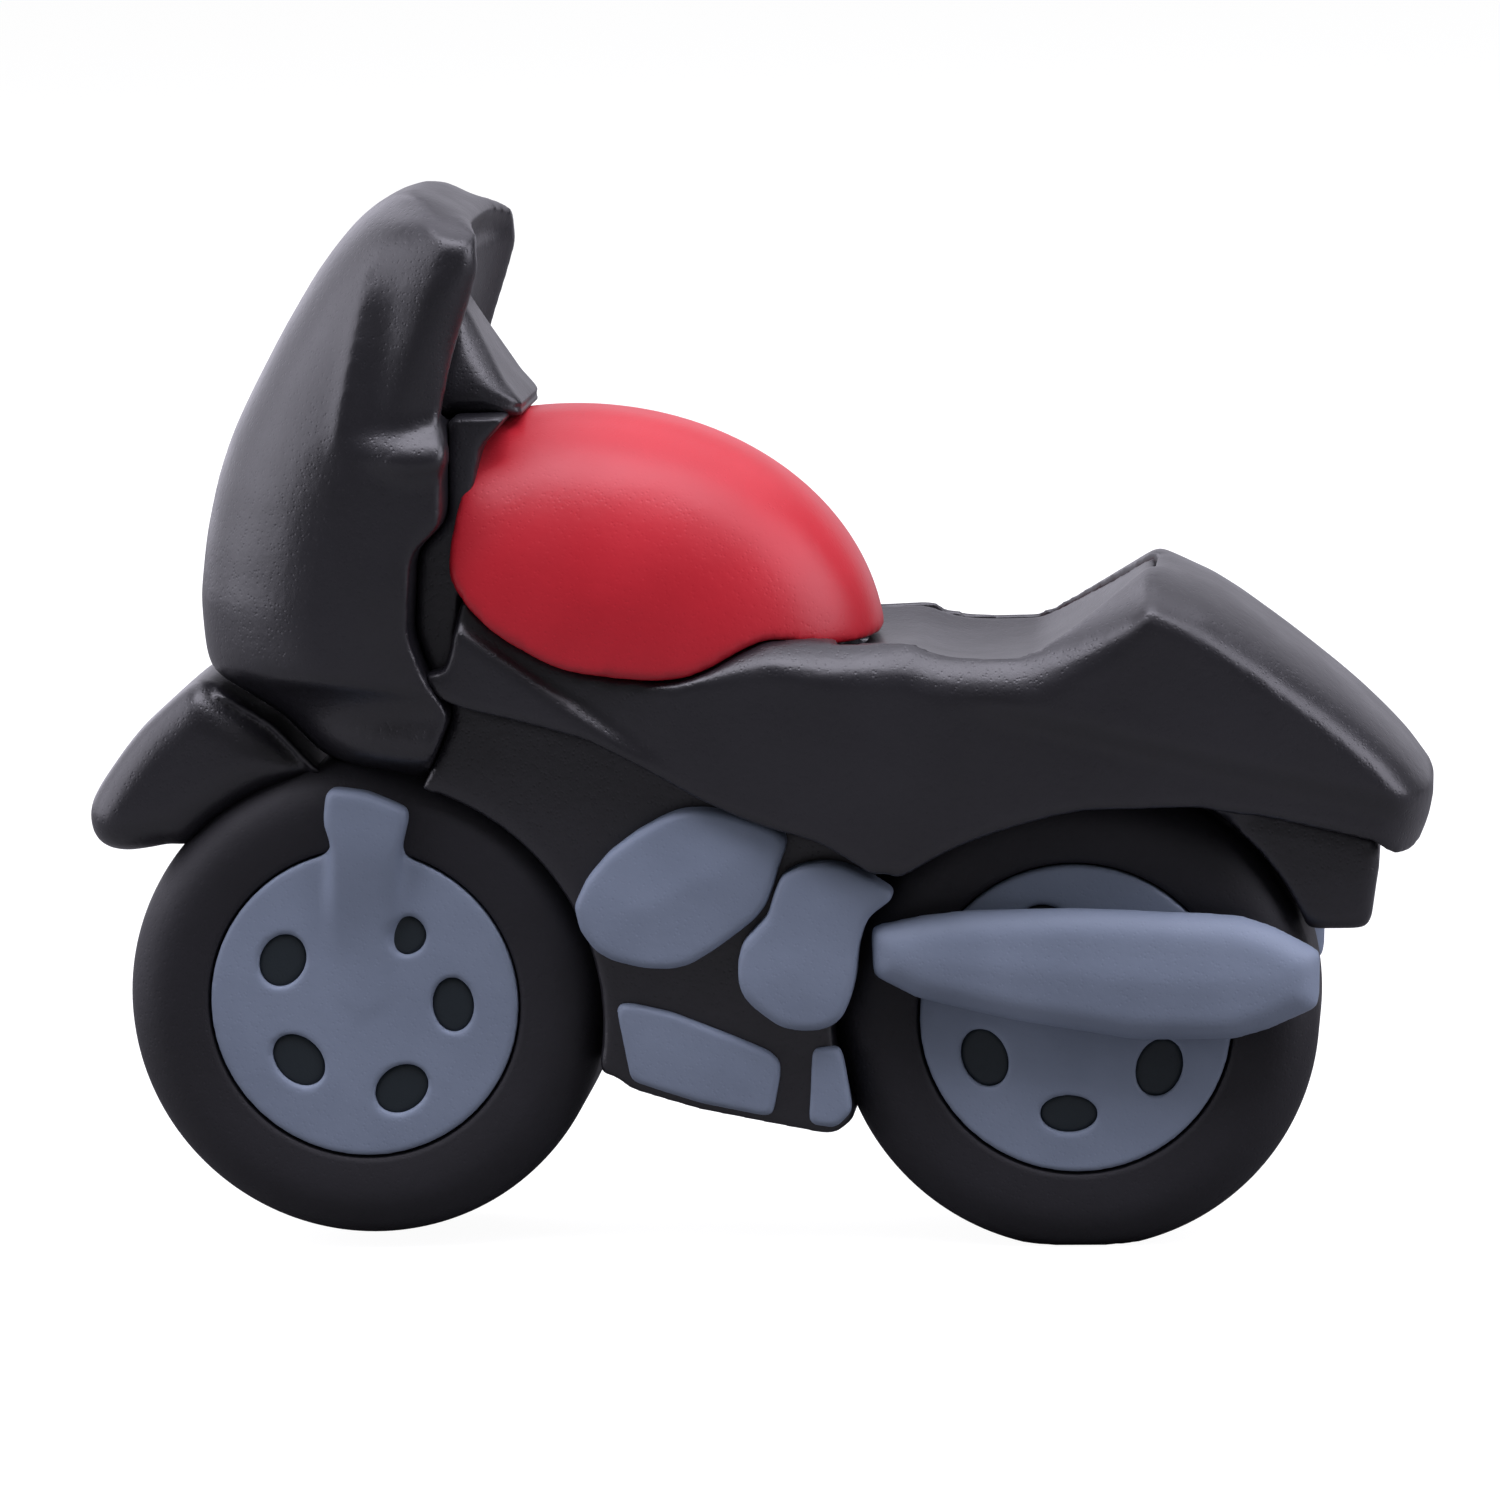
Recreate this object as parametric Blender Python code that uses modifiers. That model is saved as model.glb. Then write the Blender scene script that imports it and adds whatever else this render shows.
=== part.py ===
"""Soft moulded foam motorcycle: black body, red tank, slate-grey wheels, engine and exhausts.

Front of the motorcycle points to -X, its left side to -Y, up is +Z. The origin is under the
middle of the toy, on the surface that it stands on. All named sizes are in millimetres.
"""
import math

import bmesh
import bpy
from mathutils import Matrix

MM = 0.001
GAP = 0.35

# Wheels: the discs sit a little off their axles, as they do on the moulded toy
FRONT_AXLE_X = -31.1
REAR_AXLE_X = 24.8
TYRE_RADIUS = 18.8
AXLE_Z = TYRE_RADIUS - 0.15
TREAD_HALF_WIDTH = 6.0
TYRE_HALF_WIDTH = 9.0
HUB_FLOOR = 7.0
RIM_RADIUS = 12.5
DISC_RADIUS = 12.1
DISC_OUTER_Y = 8.7
FRONT_DISC_CENTRE = (-30.9, 19.8)
REAR_DISC_CENTRE = (24.6, 18.2)
TURN_STEPS = 48

# Half-widths of the body zones, measured from the centre plane
FAIRING_HALF = 14.5
CONSOLE_HALF = 7.0
HEAD_HALF = 9.5
SCREEN_HOLLOW_HALF = 10.5
BODY_HALF = 13.0
TAIL_END_HALF = 9.5
FENDER_HALF = 8.5
CORE_HALF = 9.0
COVER_OUTER_Y = 12.4
BELLY_OUTER_Y = 10.8
EXHAUST_OUTER_Y = 12.8
FORK_OUTER_Y = 10.6
GRIP_OUTER_Y = 16.2
SIDE_INNER_Y = 9.35

# The tank's crown is an ellipsoid
TANK_CENTRE = (-14.5, 46.0)
TANK_RADII = (24.6, 13.8, 19.6)

BLACK = (0.018, 0.017, 0.021)
RED = (0.42, 0.012, 0.022)
GREY = (0.115, 0.140, 0.190)

# Side view lines (x, z), front to rear, shared by the zones on both sides of each line
BODY_LOWER_EDGE = [(-23.1, 44.8), (-20.3, 43.5), (-10.8, 41.0), (-2.3, 36.4), (3.1, 34.1),
                   (7.2, 32.9), (11.4, 30.2)]
REAR_ARCH = [(11.4, 30.2), (16.3, 32.9), (23.9, 35.1), (29.9, 35.4), (36.9, 35.1), (48.4, 32.2)]
TANK_LOWER_EDGE = [(-22.0, 53.8), (-20.7, 51.7), (-18.4, 49.5), (-15.6, 47.8), (-12.9, 46.6),
                   (-7.9, 45.9), (-5.5, 45.8), (-2.8, 46.6), (1.7, 48.8), (7.0, 48.6), (12.3, 48.7)]
TANK_FRONT_EDGE = [(-22.0, 53.8), (-21.9, 56.0), (-21.2, 59.6), (-20.4, 63.7), (-17.3, 66.9)]
SEAT_RIM = [(12.5, 48.6), (13.3, 48.0), (15.9, 47.3), (20.3, 47.2), (22.2, 47.6), (26.6, 50.2),
            (30.8, 53.1)]
TAIL_TOP = [(30.8, 53.3), (35.4, 51.4), (39.9, 48.3), (43.6, 45.4), (47.0, 42.5), (50.4, 39.0),
            (51.8, 37.0)]
TAIL_END = [(51.8, 37.0), (52.4, 35.8), (52.3, 34.4), (51.6, 32.0), (50.4, 31.0), (48.9, 31.4),
            (48.4, 32.2)]
FAIRING_FRONT = [(-43.0, 45.4), (-43.6, 51.5), (-41.9, 60.9), (-38.9, 67.7), (-33.6, 76.7),
                 (-29.2, 81.7), (-26.3, 82.9), (-24.6, 82.9), (-22.4, 81.6), (-19.8, 79.8),
                 (-19.1, 77.6)]
FAIRING_REAR = [(-19.1, 77.6), (-20.0, 74.6), (-21.7, 69.6), (-22.9, 65.6), (-23.1, 58.0),
                (-25.5, 55.8), (-26.0, 49.3), (-24.7, 45.5), (-23.1, 43.0)]
FAIRING_BOTTOM = [(-23.1, 43.0), (-26.3, 35.9), (-30.0, 37.3), (-33.6, 37.8), (-37.3, 41.9),
                  (-43.0, 45.4)]
# The windscreen's inner face, between its two side wings
SCREEN_INNER = [(-25.9, 65.8), (-24.7, 69.6), (-23.0, 74.6), (-22.2, 78.5), (-21.5, 84.0)]

# Half-widths seen from above (x, half width)
PLAN_HALF_HEIGHT = 50.0
BODY_PLAN = [(-26.0, 12.4), (-10.0, 13.1), (10.0, 13.1), (28.0, 13.1), (40.0, 12.0), (49.0, 10.4),
             (54.0, TAIL_END_HALF)]
SEAT_PLAN = [(12.0, 10.4), (19.0, 10.2), (22.5, 9.0), (26.6, 6.0), (32.0, 2.2)]
FAIRING_PLAN = [(-44.0, 8.0), (-42.0, 10.4), (-38.0, 12.6), (-32.0, 14.1), (-26.0, 14.6),
                (-18.0, 14.6)]

# Oval windows of the discs: (angle from the front-pointing direction in degrees, distance from
# the disc's centre, half length, half width, tilt in degrees)
FRONT_WINDOWS = [(29, 7.2, 2.2, 1.8, 60), (122, 6.4, 1.7, 1.6, 0), (181, 7.0, 2.2, 1.65, 92),
                 (-40, 6.9, 2.35, 1.8, 135), (-112, 7.3, 2.3, 1.8, 35)]
REAR_WINDOWS = [(-23, 7.7, 2.4, 1.8, 110), (-149, 7.5, 2.4, 1.8, 70), (-85, 7.5, 2.3, 1.5, 0),
                (72, 7.8, 2.1, 1.6, 0)]


def clear_scene():
    for obj in list(bpy.data.objects):
        bpy.data.objects.remove(obj, do_unlink=True)


def new_collection(name):
    collection = bpy.data.collections.new(name)
    bpy.context.scene.collection.children.link(collection)
    return collection


def new_material(name, colour, roughness):
    material = bpy.data.materials.new(name)
    material.use_nodes = True
    shader = material.node_tree.nodes["Principled BSDF"]
    shader.inputs["Base Color"].default_value = (*colour, 1.0)
    shader.inputs["Roughness"].default_value = roughness
    shader.inputs["Metallic"].default_value = 0.0
    return material


clear_scene()
PARTS = new_collection("foam_motorcycle")
CUTTERS = new_collection("cutters")


def smooth_line(points, steps=3):
    """Catmull-Rom line through the points, with `steps` pieces between neighbours."""
    line = []
    last = len(points) - 1
    for index in range(last):
        before = points[max(index - 1, 0)]
        start = points[index]
        end = points[index + 1]
        after = points[min(index + 2, last)]
        for step in range(steps):
            t = step / steps
            line.append(tuple(catmull_rom(before[k], start[k], end[k], after[k], t) for k in (0, 1)))
    line.append(points[last])
    return line


def catmull_rom(a, b, c, d, t):
    return 0.5 * (2 * b + (c - a) * t + (2 * a - 5 * b + 4 * c - d) * t ** 2
                  + (3 * b - a - 3 * c + d) * t ** 3)


def shifted(points, dx, dz):
    return [(x + dx, z + dz) for x, z in points]


def joined(*lines):
    """One closed outline from lines that follow each other, without repeated points."""
    outline = []
    for line in lines:
        for point in line:
            if not outline or math.dist(point, outline[-1]) > 0.05:
                outline.append(point)
    if math.dist(outline[0], outline[-1]) < 0.05:
        outline.pop()
    return outline


def ellipse(centre, half_length, half_width, tilt, count=16):
    """Points of a tilted ellipse in the side view."""
    c = math.cos(math.radians(tilt))
    s = math.sin(math.radians(tilt))
    points = []
    for index in range(count):
        angle = 2 * math.pi * index / count
        along = half_length * math.cos(angle)
        across = half_width * math.sin(angle)
        points.append((centre[0] + along * c - across * s, centre[1] + along * s + across * c))
    return points


def finish(obj, colour, roughness, collection=PARTS):
    obj.data.materials.clear()
    if collection is PARTS:
        obj.data.materials.append(new_material(obj.name + "_skin", colour, roughness))
        obj.data.shade_smooth()
        obj.data.set_sharp_from_angle(angle=math.radians(40))
    for other in list(obj.users_collection):
        other.objects.unlink(obj)
    collection.objects.link(obj)
    if collection is CUTTERS:
        obj.hide_render = True
        obj.display_type = "WIRE"
    return obj


def slab(name, outline, y_low, y_high, rim=0.0, colour=BLACK, roughness=0.5, collection=PARTS):
    """A side view outline given thickness from y_low to y_high, with its rims rounded by `rim`."""
    curve = bpy.data.curves.new(name, "CURVE")
    curve.dimensions = "2D"
    curve.fill_mode = "BOTH"
    curve.extrude = ((y_high - y_low) / 2 - rim) * MM
    curve.bevel_depth = rim * MM
    curve.bevel_resolution = 1
    curve.offset = -rim * MM
    spline = curve.splines.new("POLY")
    spline.points.add(len(outline) - 1)
    for point, (x, z) in zip(spline.points, outline):
        point.co = (x * MM, z * MM, 0.0, 1.0)
    spline.use_cyclic_u = True
    source = bpy.data.objects.new(name, curve)
    source.rotation_euler = (math.radians(90), 0.0, 0.0)
    source.location = (0.0, (y_low + y_high) / 2 * MM, 0.0)
    bpy.context.scene.collection.objects.link(source)
    return finish(solid_from_curve(source, name), colour, roughness, collection)


def solid_from_curve(source, name):
    """A welded mesh object in the place of a curve object."""
    bpy.context.view_layer.update()
    evaluated = source.evaluated_get(bpy.context.evaluated_depsgraph_get())
    mesh = bpy.data.meshes.new_from_object(evaluated)
    place = source.matrix_world.copy()
    bpy.data.objects.remove(source, do_unlink=True)
    form = bmesh.new()
    form.from_mesh(mesh)
    bmesh.ops.remove_doubles(form, verts=form.verts, dist=0.01 * MM)
    bmesh.ops.recalc_face_normals(form, faces=form.faces)
    form.to_mesh(mesh)
    form.free()
    obj = bpy.data.objects.new(name, mesh)
    obj.matrix_world = place
    bpy.context.scene.collection.objects.link(obj)
    return obj


def turned(name, profile, x, z, colour=BLACK, roughness=0.5, collection=PARTS):
    """A round piece on an axle along Y: the profile is (radius, distance towards -Y)."""
    mesh = bpy.data.meshes.new(name)
    points = [(radius * MM, 0.0, along * MM) for radius, along in profile]
    edges = [(index, index + 1) for index in range(len(points) - 1)]
    mesh.from_pydata(points, edges, [])
    obj = bpy.data.objects.new(name, mesh)
    obj.rotation_euler = (math.radians(90), 0.0, 0.0)
    obj.location = (x * MM, 0.0, z * MM)
    bpy.context.scene.collection.objects.link(obj)
    screw = obj.modifiers.new("turn", "SCREW")
    screw.steps = TURN_STEPS
    screw.render_steps = TURN_STEPS
    screw.use_merge_vertices = True
    screw.merge_threshold = 0.01 * MM
    screw.use_smooth_shade = True
    return finish(obj, colour, roughness, collection)


def cut(obj, cutter, operation="DIFFERENCE"):
    modifier = obj.modifiers.new(operation.lower() + "_" + cutter.name, "BOOLEAN")
    modifier.operation = operation
    modifier.object = cutter
    modifier.solver = "EXACT"


def shape_in_plan(obj, half_plan):
    """Keeps what lies inside the outline (x, half width) seen from above, equal on both sides."""
    name = obj.name + "_plan"
    half = smooth_line(half_plan, 2)
    outline = half + [(x, -y) for x, y in reversed(half)]
    curve = bpy.data.curves.new(name, "CURVE")
    curve.dimensions = "2D"
    curve.fill_mode = "BOTH"
    curve.extrude = PLAN_HALF_HEIGHT * MM
    spline = curve.splines.new("POLY")
    spline.points.add(len(outline) - 1)
    for point, (x, y) in zip(spline.points, outline):
        point.co = (x * MM, y * MM, 0.0, 1.0)
    spline.use_cyclic_u = True
    source = bpy.data.objects.new(name, curve)
    source.location = (0.0, 0.0, PLAN_HALF_HEIGHT * MM)
    bpy.context.scene.collection.objects.link(source)
    cut(obj, finish(solid_from_curve(source, name), BLACK, 0.5, CUTTERS), "INTERSECT")
    mirror = obj.modifiers.new("both_sides", "MIRROR")
    mirror.use_axis = (False, False, True)
    mirror.use_bisect_axis = (False, False, True)
    mirror.use_mirror_merge = True
    mirror.merge_threshold = 0.01 * MM


def wheel_well(name, x, half_width):
    """The round space that a wheel takes, with the gap around it."""
    return round_cutter(name, TYRE_RADIUS + GAP, (x, AXLE_Z), -half_width, half_width)


def round_cutter(name, radius, centre, low, high):
    """A plain drum along Y from `low` to `high`, measured towards -Y."""
    profile = [(0.0, high), (radius, high), (radius, low), (0.0, low)]
    return turned(name, profile, *centre, collection=CUTTERS)


def both_sides(name, outline, y_inner, y_outer, rim, colour):
    """The same raised plate on the left (-Y) and right (+Y) sides."""
    left = slab(name + "_left", outline, -y_outer, -y_inner, rim, colour)
    right = slab(name + "_right", outline, y_inner, y_outer, rim, colour)
    return left, right


def build_wheels(floor):
    """Solid tyres with a recess on each side for the painted disc."""
    shoulder = TREAD_HALF_WIDTH
    side = TYRE_HALF_WIDTH
    half_profile = [(0.0, side), (15.6, side - 0.1), (17.4, side - 0.9), (18.4, shoulder + 1.2),
                    (TYRE_RADIUS, shoulder)]
    profile = half_profile + [(radius, -along) for radius, along in reversed(half_profile)]
    wheels = (("front", FRONT_AXLE_X, FRONT_DISC_CENTRE), ("rear", REAR_AXLE_X, REAR_DISC_CENTRE))
    for wheel, x, disc_centre in wheels:
        tyre = turned(wheel + "_tyre", profile, x, AXLE_Z, roughness=0.6)
        cut(tyre, floor)
        for side_name, low, high in (("left", HUB_FLOOR, 12.0), ("right", -12.0, -HUB_FLOOR)):
            recess_name = f"{wheel}_recess_{side_name}"
            cut(tyre, round_cutter(recess_name, RIM_RADIUS, disc_centre, low, high))


def build_discs():
    """Painted wheel discs with oval windows, one on each side of each wheel."""
    inner = HUB_FLOOR + 0.3
    outer = DISC_OUTER_Y
    wheels = (("front", FRONT_DISC_CENTRE, FRONT_WINDOWS), ("rear", REAR_DISC_CENTRE, REAR_WINDOWS))
    for wheel, centre, windows in wheels:
        cutters = []
        for number, window in enumerate(windows):
            cutters.append(window_cutter(f"{wheel}_window_{number}", centre, window))
        for side, sign in (("left", 1), ("right", -1)):
            profile = [(0.0, outer), (DISC_RADIUS - 1.0, outer), (DISC_RADIUS, outer - 0.5),
                       (DISC_RADIUS, inner), (0.0, inner)]
            if sign < 0:
                profile = [(radius, -along) for radius, along in reversed(profile)]
            disc = turned(f"{wheel}_disc_{side}", profile, *centre, GREY, 0.55)
            for cutter in cutters:
                cut(disc, cutter)


def window_cutter(name, disc_centre, window):
    angle, distance, half_length, half_width, tilt = window
    centre = (disc_centre[0] - distance * math.cos(math.radians(angle)),
              disc_centre[1] + distance * math.sin(math.radians(angle)))
    outline = ellipse(centre, half_length, half_width, tilt)
    return slab(name, outline, -12.0, 12.0, collection=CUTTERS)


def build_front(front_well):
    """Fairing with its windscreen, fender, console, steering head, handlebar grips and forks."""
    outline = joined(smooth_line(FAIRING_FRONT, 2), smooth_line(FAIRING_REAR, 1), FAIRING_BOTTOM)
    fairing = slab("front_fairing", outline, -FAIRING_HALF, FAIRING_HALF, 2.6)
    cut(fairing, front_well)
    hollow = joined(SCREEN_INNER, [(-14.0, 84.0), (-14.0, 65.8)])
    cut(fairing, slab("screen_hollow", hollow, -SCREEN_HOLLOW_HALF, SCREEN_HOLLOW_HALF,
                      collection=CUTTERS))
    shape_in_plan(fairing, FAIRING_PLAN)

    under_fairing = shifted(FAIRING_BOTTOM[3:], -0.3, -0.3)
    fender_top = [(-44.3, 44.5), (-47.9, 41.4), (-50.4, 38.3), (-52.0, 35.9), (-52.4, 34.3),
                  (-51.8, 32.4), (-49.6, 31.7), (-46.1, 32.3)]
    inside_tyre = [(-40.5, 31.0), (-34.3, 35.0)]
    fender = slab("front_fender", joined(under_fairing, smooth_line(fender_top, 2), inside_tyre),
                  -FENDER_HALF, FENDER_HALF, 1.2)
    cut(fender, front_well)

    console = [(-22.7, 74.6), (-18.9, 67.9), (-17.5, 66.2), (-25.2, 66.2), (-24.2, 69.6)]
    slab("console", console, -CONSOLE_HALF, CONSOLE_HALF, 0.3)

    head_front = [(-22.6, 65.8), (-22.75, 57.8), (-25.1, 55.5), (-25.6, 49.4), (-24.3, 45.8)]
    head_rear = [(-23.5, 45.6)] + shifted(TANK_FRONT_EDGE[:4], -0.45, 0.0) + [(-18.9, 65.8)]
    slab("steering_head", joined(head_rear, head_front), -HEAD_HALF, HEAD_HALF)

    grip = [(-27.4, 62.1), (-26.6, 63.7), (-25.4, 64.5), (-24.0, 64.6), (-22.8, 64.0),
            (-22.4, 62.1)]
    both_sides("handlebar_grip", grip, FAIRING_HALF + GAP, GRIP_OUTER_Y, 0.5, BLACK)

    fork = [(-33.2, 37.1), (-30.0, 36.7), (-26.6, 35.3), (-27.6, 31.7), (-28.2, 25.7),
            (-28.9, 20.3), (-30.9, 18.7), (-32.9, 20.4), (-33.2, 25.8), (-33.0, 32.8),
            (-33.5, 34.2)]
    both_sides("fork_leg", fork, SIDE_INNER_Y, FORK_OUTER_Y, 0.4, GREY)


def build_tank():
    """The red tank: an ellipsoid crown cut off along its painted front and lower edges."""
    x, z = TANK_CENTRE
    bpy.ops.mesh.primitive_uv_sphere_add(segments=48, ring_count=24, radius=1.0)
    tank = bpy.context.active_object
    tank.name = "fuel_tank"
    tank.data.name = "fuel_tank"
    tank.data.transform(Matrix.Diagonal((*[radius * MM for radius in TANK_RADII], 1.0)))
    tank.location = (x * MM, 0.0, z * MM)
    finish(tank, RED, 0.35)
    edge = joined(list(reversed(smooth_line(TANK_FRONT_EDGE, 2))), smooth_line(TANK_LOWER_EDGE, 2))
    outline = joined(edge, [(12.5, 68.0), (-17.0, 68.0)])
    keep = slab("tank_region", outline, -20.0, 20.0, collection=CUTTERS)
    cut(tank, keep, "INTERSECT")


def build_body(rear_well):
    """Main body with its tail, and the seat pad sunk into it."""
    under_tank = shifted(smooth_line(TANK_LOWER_EDGE, 2), 0.0, -GAP)
    upper = joined(under_tank, smooth_line(SEAT_RIM, 2), smooth_line(TAIL_TOP, 2),
                   smooth_line(TAIL_END, 2))
    lower = joined(list(reversed(smooth_line(REAR_ARCH, 3))),
                   list(reversed(smooth_line(BODY_LOWER_EDGE, 2))))
    body = slab("main_body", joined(upper, lower), -BODY_HALF, BODY_HALF, 1.0)
    cut(body, rear_well)

    shape_in_plan(body, BODY_PLAN)

    rim = smooth_line(SEAT_RIM, 2)
    half = SEAT_PLAN[0][1]
    depth = 3.0
    seat = slab("seat", joined(rim, list(reversed(shifted(rim, 0.4, -depth)))), -half, half)
    shape_in_plan(seat, SEAT_PLAN)

    pocket_low = list(reversed(shifted(rim, 0.4, -depth - GAP)))
    front_wall = [(rim[0][0] - GAP + 0.4, rim[0][1] - depth - GAP), (rim[0][0] - GAP, rim[0][1] + 3.0)]
    rear_wall = [(rim[-1][0] + GAP, rim[-1][1] + 3.0), (rim[-1][0] + GAP + 0.4, rim[-1][1] - depth)]
    pocket = joined(front_wall, shifted(rim, 0.0, 3.0), rear_wall, pocket_low)
    wider = [(SEAT_PLAN[0][0] - 2.0, half + GAP)] + shifted(SEAT_PLAN, GAP / 2, GAP)
    cutter = slab("seat_pocket", pocket, -half - GAP, half + GAP, collection=CUTTERS)
    shape_in_plan(cutter, wider)
    cut(body, cutter)


def build_engine(front_well, rear_well):
    """Engine core between the wheels, the covers on its sides, and the belly plates."""
    top = shifted(smooth_line(BODY_LOWER_EDGE, 2), 0.0, -GAP - 0.1)
    rear = [(11.1, 27.7), (11.5, 19.7), (8.3, 10.8)]
    bottom = [(6.8, 10.4), (5.7, 9.4), (0.7, 10.4), (-4.7, 11.5), (-10.2, 13.2), (-11.2, 14.3),
              (-12.8, 14.1)]
    front = [(-18.5, 18.5), (-22.2, 30.6), (-25.8, 35.0), (-22.8, 42.4)]
    core = slab("engine_core", joined(top[1:], rear, bottom, front), -CORE_HALF, CORE_HALF)
    cut(core, front_well)
    cut(core, rear_well)

    guard = joined(list(shifted(smooth_line(REAR_ARCH[3:], 2), -0.2, -GAP - 0.1)),
                   [(47.8, 29.6), (47.3, 26.2), (42.7, 26.2), (36.0, 29.0)])
    mudguard = slab("rear_mudguard", guard, -CORE_HALF + 0.4, CORE_HALF - 0.4)
    cut(mudguard, rear_well)

    cylinder = [(-13.7, 27.9), (-11.0, 31.9), (-6.8, 34.6), (-4.5, 35.2), (-2.3, 35.0),
                (0.5, 34.2), (2.6, 33.1), (2.0, 31.1), (0.9, 27.9), (-1.2, 25.9), (-5.0, 23.4),
                (-7.5, 23.1), (-9.6, 23.4), (-12.2, 24.5)]
    both_sides("cylinder_cover", smooth_closed(cylinder), SIDE_INNER_Y, COVER_OUTER_Y, 1.2, GREY)
    clutch = [(2.4, 30.1), (5.5, 31.0), (8.0, 30.4), (10.2, 29.1), (10.8, 28.4), (8.9, 27.0),
              (8.0, 24.6), (7.7, 22.1), (6.7, 19.2), (5.0, 18.2), (2.5, 18.3), (1.1, 19.1),
              (-0.6, 20.6), (-1.1, 22.3), (-0.7, 24.9), (1.3, 27.0)]
    both_sides("clutch_cover", smooth_closed(clutch), SIDE_INNER_Y, COVER_OUTER_Y, 1.2, GREY)
    belly = [(-10.8, 19.8), (-9.7, 19.8), (-6.7, 19.1), (-2.2, 17.3), (0.8, 16.0), (1.6, 15.2),
             (1.5, 14.0), (0.9, 11.1), (-4.4, 12.2), (-7.5, 13.2), (-9.8, 14.0)]
    both_sides("belly_plate", belly, SIDE_INNER_Y, BELLY_OUTER_Y, 0.4, GREY)
    tab = [(4.4, 16.2), (6.3, 16.3), (6.6, 14.9), (7.1, 11.4), (5.9, 10.2), (4.0, 10.5),
           (4.2, 12.9)]
    both_sides("belly_tab", tab, SIDE_INNER_Y, BELLY_OUTER_Y, 0.4, GREY)


def smooth_closed(points):
    """The same points with the corners of the loop rounded by a smooth line through them."""
    count = len(points)
    line = []
    for index in range(count):
        a = points[index - 1]
        b = points[index]
        c = points[(index + 1) % count]
        d = points[(index + 2) % count]
        for step in range(2):
            line.append(tuple(catmull_rom(a[k], b[k], c[k], d[k], step / 2) for k in (0, 1)))
    return line


def build_exhausts():
    muffler = [(9.1, 26.0), (13.0, 26.8), (16.8, 27.2), (24.7, 27.3), (34.6, 26.8), (37.5, 26.6),
               (40.1, 25.7), (43.6, 23.8), (43.4, 19.5), (39.6, 17.8), (36.8, 17.0),
               (29.5, 17.0), (19.5, 18.7), (12.6, 20.4), (9.2, 22.2)]
    both_sides("exhaust", muffler, SIDE_INNER_Y, EXHAUST_OUTER_Y, 1.6, GREY)


def build():
    floor_outline = [(-70.0, 0.0), (70.0, 0.0), (70.0, -5.0), (-70.0, -5.0)]
    floor = slab("floor_cut", floor_outline, -20.0, 20.0, collection=CUTTERS)
    front_well = wheel_well("front_well", FRONT_AXLE_X, TYRE_HALF_WIDTH + 0.3)
    rear_well = wheel_well("rear_well", REAR_AXLE_X, TYRE_HALF_WIDTH + 0.3)
    build_wheels(floor)
    build_discs()
    build_front(front_well)
    build_tank()
    build_body(rear_well)
    build_engine(front_well, rear_well)
    build_exhausts()


build()
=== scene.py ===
"""Looks of the foam motorcycle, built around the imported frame.

Shapes are in mm. Lengths in materials, lights and the camera are in metres, and their names end in _m.
"""
import math

import bpy
import numpy as np
import openvdb
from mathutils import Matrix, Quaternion, Vector


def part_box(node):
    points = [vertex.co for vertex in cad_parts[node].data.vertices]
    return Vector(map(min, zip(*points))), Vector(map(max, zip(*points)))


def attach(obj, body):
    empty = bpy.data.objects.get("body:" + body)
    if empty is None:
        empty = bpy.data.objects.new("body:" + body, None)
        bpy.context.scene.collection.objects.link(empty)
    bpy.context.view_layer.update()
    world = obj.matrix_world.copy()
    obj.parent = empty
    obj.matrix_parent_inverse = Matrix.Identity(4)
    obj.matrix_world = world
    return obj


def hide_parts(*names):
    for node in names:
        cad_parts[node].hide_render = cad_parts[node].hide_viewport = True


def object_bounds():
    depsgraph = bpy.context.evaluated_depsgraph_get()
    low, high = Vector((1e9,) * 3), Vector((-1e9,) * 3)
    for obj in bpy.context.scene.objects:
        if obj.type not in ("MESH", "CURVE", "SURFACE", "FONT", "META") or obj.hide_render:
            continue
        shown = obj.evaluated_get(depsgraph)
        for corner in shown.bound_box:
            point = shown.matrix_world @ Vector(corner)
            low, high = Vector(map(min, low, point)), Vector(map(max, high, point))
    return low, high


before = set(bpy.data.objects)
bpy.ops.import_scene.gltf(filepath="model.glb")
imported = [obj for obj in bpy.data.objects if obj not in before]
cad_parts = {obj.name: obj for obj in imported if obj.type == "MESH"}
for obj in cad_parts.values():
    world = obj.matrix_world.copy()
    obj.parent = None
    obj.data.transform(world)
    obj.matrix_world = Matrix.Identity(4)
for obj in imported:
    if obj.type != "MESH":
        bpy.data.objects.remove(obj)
cad_low, cad_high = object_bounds()

MM = 0.001
ROOT = "root"
# Sampling steps of the surfaces
FINE = 0.22
MEDIUM = 0.3
COARSE = 0.36
# Painted zones of one moulding meet, so each one grows by about half of the gap between the CAD solids
SEAM = 0.16
# What stays free between two pieces that follow one line
CLEAR = 0.03
# Planes that cut the CAD solids: just beside the middle, where no vertex lies, and through the sides
MIDDLE_Y = 0.07
WING_Y = -12.0
FLANK_Y = -11.9
DISC_Y = -8.0
FORK_Y = -10.0
# What an edge of an outline is looked up by
BY_X = 0
BY_Z = 1


# ---------------------------------------------------------------- measuring the frame

def box_mm(node):
    low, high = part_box(node)
    return np.array(low) / MM, np.array(high) / MM


def half_width(node):
    return box_mm(node)[1][1]


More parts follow.
